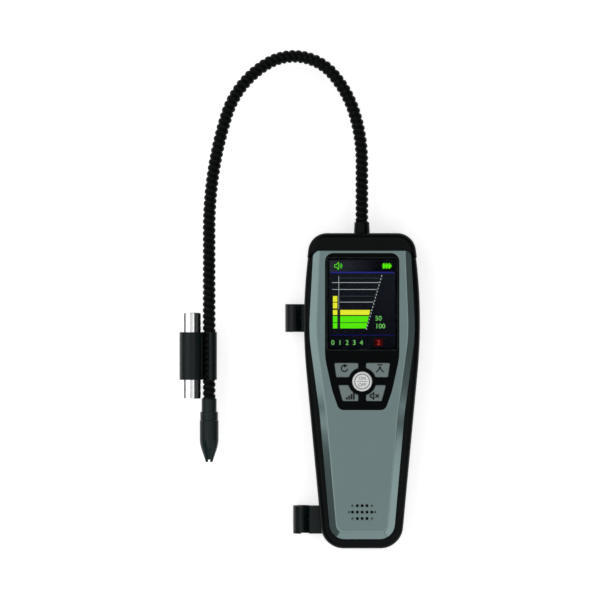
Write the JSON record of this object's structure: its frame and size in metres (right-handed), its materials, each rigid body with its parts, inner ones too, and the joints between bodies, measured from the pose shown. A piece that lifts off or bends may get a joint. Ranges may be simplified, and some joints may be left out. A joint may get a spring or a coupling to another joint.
{
  "type": "gas detector",
  "caption": "Handheld gas detector with a colour display, keypad, speaker, long gooseneck probe and a clip-on inspection light.",
  "frame": {"origin": "middle of the back of the case, on the surface it lies on", "axes": "+X to the right of the display, +Y along the case towards the neck, +Z out of the display"},
  "size_m": [0.1579, 0.327, 0.0338],
  "materials": {
    "case_black": "black ABS with a satin gloss",
    "bezel_grey": "moulded blue-grey plastic, lightly glossy",
    "panel_black": "gloss black overlay",
    "window_clear": "clear hard-coated window",
    "key_grey": "grey keycap",
    "button_white": "white keycap",
    "silicone": "moulded silicone",
    "board_green": "glass-fibre board with solder mask",
    "lcd_steel": "pressed steel tray",
    "lcd_glass": "display glass",
    "lcd_white": "white light guide",
    "screw_steel": "zinc-plated steel",
    "cell_can": "battery can with a plain sleeve",
    "contact_metal": "plated spring brass",
    "pump_plastic": "black engineering plastic",
    "motor_steel": "steel motor can",
    "filter_white": "white filter housing",
    "cell_gold": "gold-plated tube",
    "tube_clear": "clear silicone tube",
    "seal_rubber": "black nitrile rubber",
    "speaker_black": "speaker frame",
    "neck_black": "black-coated steel gooseneck",
    "probe_black": "satin black plastic",
    "light_chrome": "polished chrome",
    "clip_black": "black nylon",
    "lens_clear": "clear lens",
    "led_yellow": "white LED with its yellow phosphor"
  },
  "bodies": {
    "housing": {"battery_1": "cell_can", "battery_2": "cell_can", "battery_3": "cell_can", "battery_contacts": "contact_metal", "battery_door": "case_black", "battery_springs": "contact_metal", "board_screws": "screw_steel", "case_screws": "screw_steel", "case_seal": "seal_rubber", "clip_screws": "screw_steel", "display_window": "window_clear", "door_screw": "screw_steel", "face_panel": "panel_black", "front_bezel": "bezel_grey", "front_case": "case_black", "gland_nut": "case_black", "gooseneck": "neck_black", "inlet_filter": "filter_white", "inlet_pipe": "tube_clear", "ir_cell": "cell_gold", "ir_emitter": "pump_plastic", "ir_sensor": "motor_steel", "keypad_mat": "silicone", "lcd_backlight": "lcd_white", "lcd_frame": "lcd_steel", "lcd_glass": "lcd_glass", "lower_side_clip": "clip_black", "main_board": "board_green", "neck_ferrule": "probe_black", "neck_gland": "case_black", "probe_body": "probe_black", "probe_filter": "filter_white", "probe_seal": "seal_rubber", "pump_head": "pump_plastic", "pump_motor": "motor_steel", "pump_pipe": "tube_clear", "rear_case": "case_black", "sample_pipe": "tube_clear", "speaker": "speaker_black", "speaker_gasket": "seal_rubber", "top_cap": "case_black", "upper_side_clip": "clip_black"},
    "key_upper_left": {"key_upper_left": "key_grey"},
    "key_upper_right": {"key_upper_right": "key_grey"},
    "key_lower_left": {"key_lower_left": "key_grey"},
    "key_lower_right": {"key_lower_right": "key_grey"},
    "power_button": {"power_button": "button_white"},
    "neck_clip": {"neck_clip": "clip_black"},
    "light": {"light_barrel": "light_chrome", "light_lens": "lens_clear", "light_reflector": "light_chrome", "light_led": "led_yellow", "light_cell": "cell_can"},
    "light_switch": {"light_button": "clip_black"},
    "probe_tip": {"probe_tip": "probe_black"}
  },
  "joints": [
    {"name": "key_upper_left_press", "type": "slide", "parent": "housing", "child": "key_upper_left", "axis": [0, 0, -1], "range_m": [0, 0.0006], "stiffness_N_per_m": 2000, "springref_m": -0.0003},
    {"name": "key_upper_right_press", "type": "slide", "parent": "housing", "child": "key_upper_right", "axis": [0, 0, -1], "range_m": [0, 0.0006], "stiffness_N_per_m": 2000, "springref_m": -0.0003},
    {"name": "key_lower_left_press", "type": "slide", "parent": "housing", "child": "key_lower_left", "axis": [0, 0, -1], "range_m": [0, 0.0006], "stiffness_N_per_m": 2000, "springref_m": -0.0003},
    {"name": "key_lower_right_press", "type": "slide", "parent": "housing", "child": "key_lower_right", "axis": [0, 0, -1], "range_m": [0, 0.0006], "stiffness_N_per_m": 2000, "springref_m": -0.0003},
    {"name": "power_button_press", "type": "slide", "parent": "housing", "child": "power_button", "axis": [0, 0, -1], "range_m": [0, 0.0006], "stiffness_N_per_m": 2000, "springref_m": -0.0003},
    {"name": "neck_clip_swivel", "type": "hinge", "parent": "housing", "child": "neck_clip", "pos_m": [-0.10033, 0.02295, 0.02], "axis": [0, 1, 0], "continuous": true},
    {"name": "light_slide", "type": "slide", "parent": "neck_clip", "child": "light", "axis": [0, 1, 0], "range_m": [-0.006, 0.04]},
    {"name": "light_switch_press", "type": "slide", "parent": "light", "child": "light_switch", "axis": [0, -1, 0], "range_m": [0, 0.0008], "stiffness_N_per_m": 2000, "springref_m": -0.0003},
    {"name": "probe_tip_pull", "type": "slide", "parent": "housing", "child": "probe_tip", "axis": [0, -1, 0], "range_m": [0, 0.011]}
  ]
}
